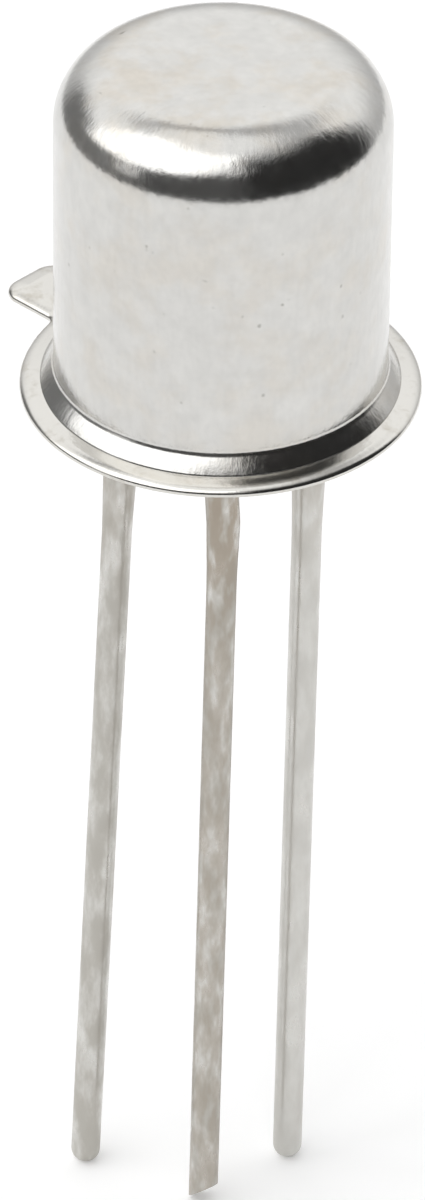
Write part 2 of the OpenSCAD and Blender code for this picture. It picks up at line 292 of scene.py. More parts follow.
def can_profile(sizes):
    """Closed half section of the can: out over the top, down to the lip, and back up inside."""
    top, seam, rim = CAN_HIGH.z, CAN_LOW.z, CAN_HIGH.x
    start = Vector((math.sin(sizes.flange_slope), math.cos(sizes.flange_slope)))
    end = Vector((math.sin(sizes.lip_slope), math.cos(sizes.lip_slope)))
    shoulder = (sizes.wall_r - sizes.shoulder_r, top - sizes.shoulder_r)
    # Centres of the lip, of the flange's broad rounding and of the flare, which touch one another
    width = rim - sizes.wall_r - sizes.lip_r * (1 - end.x) - sizes.flare_r * (1 - start.x)
    rounding_r = width / (end.x - start.x)
    lip = Vector((rim - sizes.lip_r, seam))
    rounding = lip + (sizes.lip_r - rounding_r) * end
    flare = rounding + (rounding_r + sizes.flare_r) * start
    turned = 3 * QUARTER - sizes.flange_slope
    inner_end = math.asin((seam - rounding.y) / (rounding_r - sizes.sheet))
    return with_supports([
        (0.0, top),
        *arc(shoulder, sizes.shoulder_r, QUARTER, 0, 2 * ARC_STEPS),
        *arc(flare, sizes.flare_r, 2 * QUARTER, turned),
        *arc(rounding, rounding_r, QUARTER - sizes.flange_slope, QUARTER - sizes.lip_slope),
        *arc(lip, sizes.lip_r, QUARTER - sizes.lip_slope, 0),
        *arc(rounding, rounding_r - sizes.sheet, inner_end, QUARTER - sizes.flange_slope),
        *arc(flare, sizes.flare_r + sizes.sheet, turned, 2 * QUARTER),
        *arc(shoulder, sizes.shoulder_r - sizes.sheet, 0, QUARTER),
        (0.0, top - sizes.sheet),
    ])


def lathe(bm, profile):
    """Turns a half section round the Z axis. Points on the axis become poles."""
    rings = []
    turn = [2 * math.pi * i / TURNS for i in range(TURNS)]
    for r, z in profile:
        if r < TINY:
            rings.append([bm.verts.new((0, 0, z))])
        else:
            rings.append([bm.verts.new((r * math.cos(a), r * math.sin(a), z)) for a in turn])
    for lower, upper in zip(rings, rings[1:]):
        join_rings(bm, lower, upper)


class OBJECT_OT_transistor_can(bpy.types.Operator):
    """Draw the can with its shoulder, flare and rounded flange"""
    bl_idname = "object.transistor_can"
    bl_label = "Drawn Can"

    def execute(self, context):
        bm = bmesh.new()
        sizes = context.scene.transistor_can
        lathe(bm, can_profile(sizes))
        finish = finish_material(
            "Barrel-plated nickel", nickel_plate, context.scene.transistor_finishes, sizes.wall_r)
        dress(mesh_object(bm, "drawn_can"), finish, "drawn_nickel", "cap")
        return {"FINISHED"}


# --------------------------------------------------------------------------- header

def flange_outline(sizes):
    """Outline of the flange with its index tab, as points with their outward directions."""
    half_w = sizes.tab_w / 2
    tip = sizes.flange_r + sizes.tab_l
    root_y = half_w + sizes.tab_root_r
    root_x = math.sqrt((sizes.flange_r + sizes.tab_root_r) ** 2 - root_y ** 2)
    on_rim = math.atan2(root_y, root_x)
    corner_x, corner_y = tip - sizes.tab_corner_r, half_w - sizes.tab_corner_r

    def convex(centre, radius, start, end, count):
        return [(*p, p[0] - centre[0], p[1] - centre[1]) for p in arc(centre, radius, start, end, count)]

    def concave(centre, radius, start, end, count):
        return [(*p, centre[0] - p[0], centre[1] - p[1]) for p in arc(centre, radius, start, end, count)]

    outline = [
        *convex((corner_x, -corner_y), sizes.tab_corner_r, -QUARTER, 0, TAB_STEPS),
        *convex((corner_x, corner_y), sizes.tab_corner_r, 0, QUARTER, TAB_STEPS),
        *concave((root_x, root_y), sizes.tab_root_r, 3 * QUARTER, math.pi + on_rim, TAB_STEPS),
        *convex((0, 0), sizes.flange_r, on_rim, 2 * math.pi - on_rim, TURNS)[1:-1],
        *concave((root_x, -root_y), sizes.tab_root_r, math.pi - on_rim, QUARTER, TAB_STEPS),
    ]
    turn = Matrix.Rotation(sizes.tab_angle, 2)
    return [(turn @ Vector(p[:2]), (turn @ Vector(p[2:])).normalized()) for p in outline]


def header_rings(sizes):
    """Rings of the header from the middle of its platform, over the flange, to the middle of its cavity."""
    outline = flange_outline(sizes)
    bottom, top, platform = HEADER_LOW.z, CAN_LOW.z, HEADER_HIGH.z
    cavity_top = COLLECTOR_HIGH.z
    directions = [(point - sizes.border_w * outward).normalized() for point, outward in outline]

    def circle(r, z):
        return [(*(r * d), z) for d in directions]

    def edge(inset, z):
        return [(*(point - inset * outward), z) for point, outward in outline]

    over = with_supports([
        (0.0, platform),
        *arc((sizes.eyelet_r - sizes.platform_edge_r, platform - sizes.platform_edge_r),
             sizes.platform_edge_r, QUARTER, 0, FILLET_STEPS),
        *arc((sizes.eyelet_r + sizes.foot_r, top + sizes.foot_r),
             sizes.foot_r, 2 * QUARTER, 3 * QUARTER, FILLET_STEPS),
    ])
    # The edge is a quarter of an ellipse, which takes over where it has the border's slope
    fall = math.tan(sizes.border_slope)
    joint = math.atan2(sizes.edge_h, sizes.edge_w * fall)
    upper = [(sizes.edge_w * (x - 1), sizes.edge_h * y) for x, y in arc((0, 0), 1, joint, 0, EDGE_STEPS)]
    lift = top - (sizes.border_w + upper[0][0]) * fall - upper[0][1]
    rim = with_supports([
        (-sizes.border_w - SUPPORT, top),
        (-sizes.border_w, top),
        *[(x, lift + y) for x, y in upper],
        *arc((-sizes.burr_r, bottom + sizes.burr_r), sizes.burr_r, 0, -QUARTER, BURR_STEPS),
    ])
    under = with_supports([
        *arc((sizes.cavity_r + sizes.mouth_r, bottom + sizes.mouth_r),
             sizes.mouth_r, 3 * QUARTER, 2 * QUARTER, FILLET_STEPS),
        *arc((sizes.cavity_r - sizes.mouth_r, cavity_top - sizes.mouth_r),
             sizes.mouth_r, 0, QUARTER, FILLET_STEPS),
        (0.0, cavity_top),
    ])
    rings = [[(0.0, 0.0, z)] if r < TINY else circle(r, z) for r, z in over]
    rings += [edge(-x, z) for x, z in rim]
    rings.append(edge(sizes.burr_r + SUPPORT, bottom))
    rings.append(circle(sizes.cavity_r + sizes.mouth_r + SUPPORT, bottom))
    rings += [[(0.0, 0.0, z)] if r < TINY else circle(r, z) for r, z in under]
    return rings


def pierce(piece, places, radius, low, high):
    """Cuts a round hole through a piece at each place."""
    bm = bmesh.new()
    for x, y in places:
        bmesh.ops.create_cone(
            bm, cap_ends=True, segments=HOLE_STEPS, radius1=radius, radius2=radius, depth=high - low,
            matrix=Matrix.Translation((x, y, (low + high) / 2)))
    drills = mesh_object(bm, "drills")
    cut = piece.modifiers.new("Seal holes", "BOOLEAN")
    cut.operation = "DIFFERENCE"
    cut.solver = "EXACT"
    cut.object = drills
    cut_mesh = applied_mesh(piece)
    piece.modifiers.clear()
    piece.data = cut_mesh
    bpy.data.objects.remove(drills)


class OBJECT_OT_transistor_header(bpy.types.Operator):
    """Stamp the header with its flange, index tab, eyelet and seal holes"""
    bl_idname = "object.transistor_header"
    bl_label = "Stamped Header"

    def execute(self, context):
        sizes, leads = context.scene.transistor_header, context.scene.transistor_leads
        bm = bmesh.new()
        rings = [[bm.verts.new(p) for p in ring] for ring in header_rings(sizes)]
        for lower, upper in zip(rings, rings[1:]):
            join_rings(bm, lower, upper)
        header = mesh_object(bm, "stamped_header")
        posts = [(-leads.circle_r, 0), (0, -leads.circle_r)]
        low, high = COLLECTOR_HIGH.z - sizes.mouth_r, HEADER_HIGH.z + sizes.mouth_r
        pierce(header, posts, sizes.seal_hole_r, low, high)
        header.data.set_sharp_from_angle(angle=HEADER_CREASE)
        finish = finish_material("Barrel-plated header", header_plate, context.scene.transistor_finishes)
        dress(header, finish, "plated_header", "header")
        return {"FINISHED"}


# ---------------------------------------------------------------------------- leads

def add_node(tree, kind, sources=None, output=0, **settings):
    """Adds a node with its settings, sets or links its inputs, and returns the output that is asked for.

    Inputs go by name, or by number where names repeat. In a map range 1 and 2 are the ends that the value
    comes from and 3 and 4 those it goes to. In a mix 0 is the share, 2 and 3 numbers, and 6 and 7 colours.
    """
    node = tree.nodes.new(kind)
    for name, value in settings.items():
        setattr(node, name, value)
    for key, source in (sources or {}).items():
        if isinstance(source, bpy.types.NodeSocket):
            tree.links.new(source, node.inputs[key])
        else:
            node.inputs[key].default_value = source
    if node.outputs:
        return node.outputs if output is None else node.outputs[output]


def lead_tree():
    """Sweeps a round wire along a path of points, with a thicker root and a shaped end."""
    tree = bpy.data.node_groups.get("Lead wire")
    if tree:
        return tree
    tree = bpy.data.node_groups.new("Lead wire", "GeometryNodeTree")
    face = tree.interface
    face.new_socket("Geometry", in_out="INPUT", socket_type="NodeSocketGeometry")
    for name in ("Radius", "Swell", "Chamfer", "Bend radius", "Step",
                 "Swell start", "Swell full", "Taper start", "Taper end", "Tip rounding"):
        face.new_socket(name, in_out="INPUT", socket_type="NodeSocketFloat")
    face.new_socket("Material", in_out="INPUT", socket_type="NodeSocketMaterial")
    face.new_socket("Geometry", in_out="OUTPUT", socket_type="NodeSocketGeometry")
    given = add_node(tree, "NodeGroupInput", output=None)
    path = add_node(tree, "GeometryNodeMeshToCurve", {0: given["Geometry"]})
    bent = add_node(
        tree, "GeometryNodeFilletCurve",
        {"Curve": path, "Radius": given["Bend radius"], "Limit Radius": True, "Count": BEND_STEPS},
        mode="POLY")
    evened = add_node(
        tree, "GeometryNodeResampleCurve", {"Curve": bent, "Length": given["Step"]}, mode="LENGTH")
    along = add_node(tree, "GeometryNodeSplineParameter", output="Length")
    total = add_node(tree, "GeometryNodeSplineLength", output="Length")

    # Thickness of the solder, which swells just under the header and thins out down the wire
    rising = add_node(
        tree, "ShaderNodeMapRange",
        {0: along, 1: given["Swell start"], 2: given["Swell full"], 3: 0.0, 4: given["Swell"]},
        interpolation_type="SMOOTHSTEP")
    thinning = add_node(
        tree, "ShaderNodeMapRange",
        {0: along, 1: given["Taper start"], 2: given["Taper end"], 3: 1.0, 4: 0.0},
        interpolation_type="SMOOTHSTEP")
    solder = add_node(tree, "ShaderNodeMath", {0: rising, 1: thinning}, operation="MULTIPLY")
    # Chamfer at the top of the post
    narrow = add_node(tree, "ShaderNodeMath", {0: given["Radius"], 1: given["Chamfer"]}, operation="SUBTRACT")
    post = add_node(
        tree, "ShaderNodeMapRange", {0: along, 1: 0.0, 2: given["Chamfer"], 3: narrow, 4: given["Radius"]})
    thick = add_node(tree, "ShaderNodeMath", {0: post, 1: solder}, operation="ADD")
    # Round end, over the length of the tip's rounding
    tip_start = add_node(tree, "ShaderNodeMath", {0: total, 1: given["Tip rounding"]}, operation="SUBTRACT")
    into_tip = add_node(tree, "ShaderNodeMapRange", {0: along, 1: tip_start, 2: total})
    squared = add_node(tree, "ShaderNodeMath", {0: into_tip, 1: 2.0}, operation="POWER")
    left_over = add_node(tree, "ShaderNodeMath", {0: 1.0, 1: squared}, operation="SUBTRACT", use_clamp=True)
    roundness = add_node(tree, "ShaderNodeMath", {0: left_over}, operation="SQRT")
    radius = add_node(tree, "ShaderNodeMath", {0: thick, 1: roundness}, operation="MULTIPLY")

    ring = add_node(tree, "GeometryNodeCurvePrimitiveCircle", {"Resolution": WIRE_STEPS, "Radius": 1.0})
    swept = add_node(
        tree, "GeometryNodeCurveToMesh",
        {"Curve": evened, "Profile Curve": ring, "Scale": radius, "Fill Caps": True})
    closed = add_node(tree, "GeometryNodeMergeByDistance", {"Geometry": swept, "Distance": MERGE})
    real = add_node(tree, "GeometryNodeRealizeInstances", {0: closed})
    finished = add_node(tree, "GeometryNodeSetMaterial", {"Geometry": real, "Material": given["Material"]})
    add_node(tree, "NodeGroupOutput", {0: finished})
    return tree


def sweep_lead(name, points, values, material):
    """Runs the lead tree on a path and returns the result as a plain mesh piece."""
    path = bpy.data.meshes.new(name)
    path.from_pydata(points, [(i, i + 1) for i in range(len(points) - 1)], [])
    guide = add_object(name + "_path", path)
    tree = lead_tree()
    modifier = guide.modifiers.new("Lead wire", "NODES")
    modifier.node_group = tree
    sockets = {item.name: item.identifier for item in tree.interface.items_tree if item.in_out == "INPUT"}
    for key, value in values.items():
        modifier[sockets[key]] = value
    modifier[sockets["Material"]] = material
    mesh = applied_mesh(guide)
    mesh.name = name
    bpy.data.objects.remove(guide)
    return add_object(name, mesh)


def lead_path(foot, top, tip_z, splay, tip_x, tip_y, sizes):
    """Corners of a lead: the post's top, the two bends and the tip."""
    lean = tip_y * (sizes.second_bend - sizes.first_bend) / (-tip_z - sizes.first_bend)
    x, y = foot
    return [
        (x, y, top),
        (x, y, -sizes.first_bend),
        (x + splay, y + lean, -sizes.second_bend),
        (x + tip_x, y + tip_y, tip_z),
    ]


def nip(lead, tip, sizes):
    """Cuts the end of a lead off at a slant and closes the cut."""
    tilt = Matrix.Rotation(-sizes.shear_x, 3, "Y") @ Matrix.Rotation(-sizes.shear_y, 3, "X")
    up = tilt @ Vector((0, 0, 1))
    bm = bmesh.new()
    bm.from_mesh(lead.data)
    cut = bmesh.ops.bisect_plane(
        bm, geom=bm.verts[:] + bm.edges[:] + bm.faces[:], dist=TINY,
        plane_co=Vector(tip) + Vector((0, 0, sizes.wire_r)), plane_no=up, clear_inner=True)
    rim = [e for e in cut["geom_cut"] if isinstance(e, bmesh.types.BMEdge)]
    face = bmesh.ops.contextual_create(bm, geom=rim)["faces"]
    bmesh.ops.recalc_face_normals(bm, faces=bm.faces)
    bmesh.ops.inset_region(bm, faces=face, thickness=sizes.shear_edge_w, depth=sizes.shear_edge_h)
    bm.to_mesh(lead.data)
    bm.free()


class OBJECT_OT_transistor_leads(bpy.types.Operator):
    """Sweep the three leads from their posts to their tips"""
    bl_idname = "object.transistor_leads"
    bl_label = "Tinned Leads"

    def execute(self, context):
        sizes = context.scene.transistor_leads
        finish = finish_material("Hot-dipped tin", tinned_wire, context.scene.transistor_finishes)
        r = sizes.circle_r
        bottom = EMITTER_LOW.z
        leads = (
            ("emitter", (-r, 0), EMITTER_HIGH.z,
             sizes.emitter_splay, sizes.emitter_tip_x, sizes.emitter_tip_y),
            ("base", (0, -r), BASE_HIGH.z,
             sizes.base_splay, sizes.base_tip_x, sizes.base_tip_y),
            ("collector", (r, 0), COLLECTOR_HIGH.z,
             sizes.collector_splay, sizes.collector_tip_x, sizes.collector_tip_y),
        )
        for name, foot, top, splay, tip_x, tip_y in leads:
            points = lead_path(foot, top, bottom, splay, tip_x, tip_y, sizes)
            nipped = name == "base"
            values = {
                "Radius": sizes.wire_r,
                "Swell": sizes.swell,
                "Chamfer": 0.0 if name == "collector" else sizes.chamfer,
                "Bend radius": sizes.bend_r,
                "Step": sizes.step,
                "Swell start": top + sizes.swell_top,
                "Swell full": top + sizes.swell_full,
                "Taper start": top + sizes.second_bend - sizes.swell_full,
                "Taper end": top + sizes.second_bend + sizes.taper_l,
                "Tip rounding": sizes.blunt_tip if nipped else sizes.wire_r,
            }
            lead = sweep_lead(name + "_wire", points, values, finish)
            if nipped:
                nip(lead, points[-1], sizes)
            lead.data.shade_smooth()
            lead.data.set_sharp_from_angle(angle=LEAD_CREASE)
            dress(lead, finish, "tinned_wire", name + "_lead")
        return {"FINISHED"}


# ------------------------------------------------------------------------ materials

def start_material(name):
    """A new material, with its node tree empty."""
    material = bpy.data.materials.new(name)
    material.use_nodes = True
    material.node_tree.nodes.clear()
    return material, material.node_tree


def finish_material(name, finish, finishes, *sizes):
    """A new material with one of the finishes below, each of which returns the inputs of the shader."""
    material, tree = start_material(name)
    place = add_node(tree, "ShaderNodeTexCoord", output="Object")
    shader = add_node(tree, "ShaderNodeBsdfPrincipled", finish(tree, place, finishes, *sizes))
    add_node(tree, "ShaderNodeOutputMaterial", {"Surface": shader})
    return material


def draw_lines(tree, place, wall_r, shrink):
    """Distance of a point from the can's axis, and where it would lie if the crown carried the wall on.

    Heights are shrunk in the second, so that noise on it runs in lines up the can.
    """
    flat = add_node(tree, "ShaderNodeVectorMath", {0: place, 1: (1, 1, 0)}, operation="MULTIPLY")
    reach = add_node(tree, "ShaderNodeVectorMath", {0: flat}, operation="LENGTH", output="Value")
    round_axis = add_node(tree, "ShaderNodeVectorMath", {0: flat}, operation="NORMALIZE")
    on_wall = add_node(tree, "ShaderNodeVectorMath", {0: round_axis, "Scale": wall_r}, operation="SCALE")
    height = add_node(tree, "ShaderNodeSeparateXYZ", {0: place}, output="Z")
    along = add_node(tree, "ShaderNodeMath", {0: height, 1: reach}, operation="SUBTRACT")
    shrunk = add_node(tree, "ShaderNodeMath", {0: along, 1: shrink}, operation="MULTIPLY")
    upward = add_node(tree, "ShaderNodeCombineXYZ", {"Z": shrunk})
    lines = add_node(tree, "ShaderNodeVectorMath", {0: on_wall, 1: upward}, operation="ADD")
    return reach, lines


def nickel_plate(tree, place, finishes, wall_r):
    """Nickel, barrel-plated on drawn steel.

    The eye sees a satin, nearly white metal with short lines where it was drawn, which fray the edges of
    what it mirrors, a fine grain, small dark pinholes, and a faint warm cloud on the crown. Real lines and
    grain are finer, and are drawn here as coarse as they have to be to show.
    """
    reach, lines = draw_lines(tree, place, wall_r, shrink=0.3)
    drawn = add_node(
        tree, "ShaderNodeTexNoise",
        {"Vector": lines, "Scale": 1 / (0.085 * MM), "Detail": 4.0, "Roughness": 0.62})
    grain = add_node(
        tree, "ShaderNodeTexNoise",
        {"Vector": place, "Scale": 1 / (0.11 * MM), "Detail": 3.0, "Roughness": 0.6})
    cloud = add_node(
        tree, "ShaderNodeTexNoise",
        {"Vector": place, "Scale": 1 / (0.85 * MM), "Detail": 4.0, "Roughness": 0.6})
    pinholes = add_node(
        tree, "ShaderNodeTexNoise", {"Vector": place, "Scale": 1 / (0.16 * MM), "Detail": 1.0, "W": 3.0},
        noise_dimensions="4D")
    # The warm film is thicker on the crown, and the wall has only a trace of it
    crown = add_node(tree, "ShaderNodeMapRange", {0: reach, 1: 1.5 * MM, 2: 2.3 * MM, 3: 0.40, 4: 0.22})
    film = add_node(
        tree, "ShaderNodeMapRange", {0: cloud, 1: 0.42, 2: 0.68, 3: 0.0, 4: crown},
        interpolation_type="SMOOTHSTEP")
    tone = add_node(
        tree, "ShaderNodeMix", {0: film, 6: finishes.nickel, 7: finishes.nickel_warm},
        data_type="RGBA", output=2)
    pits = add_node(tree, "ShaderNodeMapRange", {0: pinholes, 1: 0.74, 2: 0.82, 3: 0.0, 4: 0.6})
    pitted = add_node(
        tree, "ShaderNodeMix", {0: pits, 6: tone, 7: finishes.nickel_pit}, data_type="RGBA", output=2)
    # The crown was hardly stretched, so the draw lines fade out towards its middle
    stretched = add_node(
        tree, "ShaderNodeMapRange", {0: reach, 1: 1.2 * MM, 2: 2.0 * MM}, interpolation_type="SMOOTHSTEP")
    darkest = add_node(tree, "ShaderNodeMapRange", {0: stretched, 3: 1.0, 4: 0.965})
    line = add_node(tree, "ShaderNodeMapRange", {0: drawn, 1: 0.3, 2: 0.7, 3: darkest, 4: 1.0})
    mottle = add_node(
        tree, "ShaderNodeTexNoise",
        {"Vector": place, "Scale": 1 / (0.32 * MM), "Detail": 5.0, "Roughness": 0.65})
    patchy = add_node(tree, "ShaderNodeMapRange", {0: mottle, 1: 0.32, 2: 0.68, 3: 0.94, 4: 1.03})
    shade = add_node(tree, "ShaderNodeMath", {0: line, 1: patchy}, operation="MULTIPLY")
    lined = add_node(
        tree, "ShaderNodeMix", {0: 1.0, 6: pitted, 7: shade},
        data_type="RGBA", blend_type="MULTIPLY", output=2)
    rough = add_node(tree, "ShaderNodeMapRange", {0: grain, 1: 0.3, 2: 0.7, 3: 0.14, 4: 0.21})
    grained = add_node(tree, "ShaderNodeBump", {"Height": grain, "Distance": 0.0025 * MM, "Strength": 1.0})
    relief = add_node(
        tree, "ShaderNodeBump",
        {"Height": drawn, "Distance": 0.0035 * MM, "Strength": stretched, "Normal": grained})
    return {"Base Color": lined, "Metallic": 1.0, "Roughness": rough, "Normal": relief}


def header_plate(tree, place, finishes):
    """Nickel, barrel-plated on the stamped header.

    The eye sees a smoother metal than the can's, softly clouded, with grey patches where the parts rubbed on
    one another as they tumbled. Its grain is drawn coarser than the real one, so that it shows.
    """
    cloud = add_node(
        tree, "ShaderNodeTexNoise",
        {"Vector": place, "Scale": 1 / (0.45 * MM), "Detail": 4.0, "Roughness": 0.65})
    grain = add_node(
        tree, "ShaderNodeTexNoise",
        {"Vector": place, "Scale": 1 / (0.08 * MM), "Detail": 3.0, "Roughness": 0.6})
    worn = add_node(
        tree, "ShaderNodeMapRange", {0: cloud, 1: 0.5, 2: 0.72, 3: 0.0, 4: 0.8},
        interpolation_type="SMOOTHSTEP")
    tone = add_node(
        tree, "ShaderNodeMix", {0: worn, 6: finishes.plate, 7: finishes.plate_worn},
        data_type="RGBA", output=2)
    rough = add_node(tree, "ShaderNodeMapRange", {0: cloud, 1: 0.3, 2: 0.7, 3: 0.10, 4: 0.18})
    relief = add_node(tree, "ShaderNodeBump", {"Height": grain, "Distance": 0.002 * MM, "Strength": 1.0})
    return {"Base Color": tone, "Metallic": 1.0, "Roughness": rough, "Normal": relief}


def tinned_wire(tree, place, finishes):
    """Iron and nickel wire, hot-dipped in tin.

    The eye sees a dull, blotchy grey metal with bright islands where the tin ran thick, frosted patches, and
    brownish wire showing through where the tin is thin, more of it towards the header. Painted shade on top
    of this makes the middle lead the darkest and browner, and the left one greyer than the right.
    """
    run = add_node(tree, "ShaderNodeMapping", {"Vector": place, "Scale": (1, 1, 0.35)})
    blotches = add_node(
        tree, "ShaderNodeTexNoise",
        {"Vector": run, "Scale": 1 / (0.30 * MM), "Detail": 4.0, "Roughness": 0.6})
    islands = add_node(
        tree, "ShaderNodeTexNoise",
        {"Vector": run, "Scale": 1 / (0.14 * MM), "Detail": 2.0, "Roughness": 0.5})
    split = add_node(tree, "ShaderNodeSeparateXYZ", {0: place}, output=None)
    aside = add_node(tree, "ShaderNodeMath", {0: split["X"]}, operation="ABSOLUTE")
    # Partly the tin's own tone, partly painted shade: the middle lead is drawn darkest and browner, the left
    # one greyer and the right one brightest, and the brown grows towards the header
    bare_and_shade_high = add_node(tree, "ShaderNodeMapRange", {0: aside, 1: 0.5 * MM, 2: 0.9 * MM, 3: 0.95, 4: 0.35})
    bare_and_shade_low = add_node(tree, "ShaderNodeMapRange", {0: aside, 1: 0.5 * MM, 2: 0.9 * MM, 3: 0.60, 4: 0.08})
    bare_and_shade_by_lead = add_node(
        tree, "ShaderNodeMapRange", {0: split["Z"], 1: -4.0 * MM, 2: -1.0 * MM, 3: bare_and_shade_low, 4: bare_and_shade_high},
        interpolation_type="SMOOTHSTEP")
    frost_and_shade_by_lead = add_node(tree, "ShaderNodeMapRange", {0: split["X"], 1: 0.3 * MM, 2: 0.9 * MM, 3: 0.9, 4: 0.25})
    # Share of the dull tin: its own frosted blotches, with painted shade on the left and middle leads
    frosted = add_node(
        tree, "ShaderNodeMapRange", {0: blotches, 1: 0.30, 2: 0.60, 3: 0.0, 4: frost_and_shade_by_lead},
        interpolation_type="SMOOTHSTEP")
    # Share of the brownish bare wire, which is also painted shade, most of it on the middle lead
    thin = add_node(
        tree, "ShaderNodeMapRange", {0: islands, 1: 0.25, 2: 0.62, 3: 0.0, 4: bare_and_shade_by_lead},
        interpolation_type="SMOOTHSTEP")
    coated = add_node(
        tree, "ShaderNodeMix", {0: frosted, 6: finishes.tin, 7: finishes.tin_dull_and_shade},
        data_type="RGBA", output=2)
    tone = add_node(
        tree, "ShaderNodeMix", {0: thin, 6: coated, 7: finishes.tin_bare_and_shade}, data_type="RGBA", output=2)
    rough = add_node(tree, "ShaderNodeMapRange", {0: blotches, 1: 0.35, 2: 0.65, 3: 0.26, 4: 0.42})
    relief = add_node(tree, "ShaderNodeBump", {"Height": islands, "Distance": 0.005 * MM, "Strength": 1.0})
    return {"Base Color": tone, "Metallic": 1.0, "Roughness": rough, "Normal": relief}


def sealing_glass(tree, place, finishes):
    """Sealing glass, melted into the header.

    The eye sees a dark, greenish glass with a fired skin, greyer in swirls, and small bubbles that dimple it.
    """
    swirls = add_node(
        tree, "ShaderNodeTexNoise",
        {"Vector": place, "Scale": 1 / (0.5 * MM), "Detail": 4.0, "Roughness": 0.6, "Distortion": 0.8})
    bubbles = add_node(
        tree, "ShaderNodeTexVoronoi", {"Vector": place, "Scale": 1 / (0.22 * MM)}, output="Distance")
    skin = add_node(
        tree, "ShaderNodeMapRange", {0: swirls, 1: 0.4, 2: 0.7, 3: 0.0, 4: 0.7},
        interpolation_type="SMOOTHSTEP")
    tone = add_node(
        tree, "ShaderNodeMix", {0: skin, 6: finishes.glass, 7: finishes.glass_skin},
        data_type="RGBA", output=2)
    dimples = add_node(
        tree, "ShaderNodeMapRange", {0: bubbles, 1: 0.05, 2: 0.22, 3: 0.0, 4: 1.0},
        interpolation_type="SMOOTHSTEP")
    rough = add_node(tree, "ShaderNodeMapRange", {0: swirls, 1: 0.3, 2: 0.7, 3: 0.08, 4: 0.24})
    relief = add_node(tree, "ShaderNodeBump", {"Height": dimples, "Distance": 0.01 * MM, "Strength": 0.6})
    return {"Base Color": tone, "Roughness": rough, "Normal": relief, "Coat Weight": 0.3}


def diced_silicon(tree, place, finishes):
    """Silicon, lapped and diced, under a thin oxide.

    The eye sees a grey mirror whose top shimmers blue to violet with the oxide, and saw lines on its sides.
    """
    height = add_node(tree, "ShaderNodeSeparateXYZ", {0: place}, output="Z")
    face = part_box("silicon_die")[1].z
    top = add_node(tree, "ShaderNodeMapRange", {0: height, 1: face - 0.004 * MM, 2: face - 0.002 * MM})
    film = add_node(tree, "ShaderNodeTexNoise", {"Vector": place, "Scale": 1 / (0.4 * MM), "Detail": 2.0})
    cover = add_node(tree, "ShaderNodeMapRange", {0: film, 1: 0.3, 2: 0.7, 3: 0.55, 4: 0.95})
    oxide = add_node(tree, "ShaderNodeMath", {0: top, 1: cover}, operation="MULTIPLY")
    tone = add_node(
        tree, "ShaderNodeMix", {0: oxide, 6: finishes.silicon, 7: finishes.oxide}, data_type="RGBA", output=2)
    across = add_node(tree, "ShaderNodeMapping", {"Vector": place, "Scale": (0.1, 0.1, 1)})
    sawn = add_node(tree, "ShaderNodeTexNoise", {"Vector": across, "Scale": 1 / (0.01 * MM), "Detail": 2.0})
    rough = add_node(tree, "ShaderNodeMapRange", {0: top, 3: 0.4, 4: 0.06})
    depth = add_node(tree, "ShaderNodeMapRange", {0: top, 3: 0.8, 4: 0.0})
    relief = add_node(tree, "ShaderNodeBump", {"Height": sawn, "Distance": 0.001 * MM, "Strength": depth})
    return {"Base Color": tone, "Metallic": 0.85, "Roughness": rough, "Normal": relief}


def evaporated_aluminium(tree, place, finishes):
    """Aluminium, evaporated on the die.

    The eye sees a white, frosty film with a fine grain, drawn coarser than the real one, so that it shows.
    """
    grain = add_node(
        tree, "ShaderNodeTexVoronoi", {"Vector": place, "Scale": 1 / (0.012 * MM)}, output="Color")
    shade = add_node(tree, "ShaderNodeSeparateColor", {0: grain})
    tone = add_node(
        tree, "ShaderNodeMix", {0: shade, 6: finishes.aluminium, 7: finishes.aluminium_grain},
        data_type="RGBA", output=2)
    rough = add_node(tree, "ShaderNodeMapRange", {0: shade, 3: 0.28, 4: 0.42})
    relief = add_node(tree, "ShaderNodeBump", {"Height": shade, "Distance": 0.0008 * MM, "Strength": 0.8})
    return {"Base Color": tone, "Metallic": 1.0, "Roughness": rough, "Normal": relief}


def gold_solder(tree, place, finishes):
    """Solder of gold and silicon, scrubbed in under the die.

    The eye sees a pale gold that wetted unevenly, with a ripple and a greyish skin in places.
    """
    ripple = add_node(
        tree, "ShaderNodeTexNoise",
        {"Vector": place, "Scale": 1 / (0.09 * MM), "Detail": 3.0, "Distortion": 0.5})
    dross = add_node(
        tree, "ShaderNodeMapRange", {0: ripple, 1: 0.5, 2: 0.7, 3: 0.0, 4: 0.8},
        interpolation_type="SMOOTHSTEP")
    tone = add_node(
        tree, "ShaderNodeMix", {0: dross, 6: finishes.gold_solder, 7: finishes.gold_dross},
        data_type="RGBA", output=2)
    rough = add_node(tree, "ShaderNodeMapRange", {0: ripple, 1: 0.3, 2: 0.7, 3: 0.22, 4: 0.45})
    relief = add_node(tree, "ShaderNodeBump", {"Height": ripple, "Distance": 0.006 * MM, "Strength": 1.0})
    return {"Base Color": tone, "Metallic": 1.0, "Roughness": rough, "Normal": relief}


def gold_wire(tree, place, finishes):
    """Gold wire, drawn through a diamond die.

    The eye sees a bright yellow metal with the faintest scuffs from the bonding tool.
    """
    scuffs = add_node(tree, "ShaderNodeTexNoise", {"Vector": place, "Scale": 1 / (0.03 * MM), "Detail": 2.0})
    rough = add_node(tree, "ShaderNodeMapRange", {0: scuffs, 1: 0.35, 2: 0.65, 3: 0.12, 4: 0.26})
    relief = add_node(tree, "ShaderNodeBump", {"Height": scuffs, "Distance": 0.0006 * MM, "Strength": 0.7})
    return {"Base Color": finishes.gold, "Metallic": 1.0, "Roughness": rough, "Normal": relief}


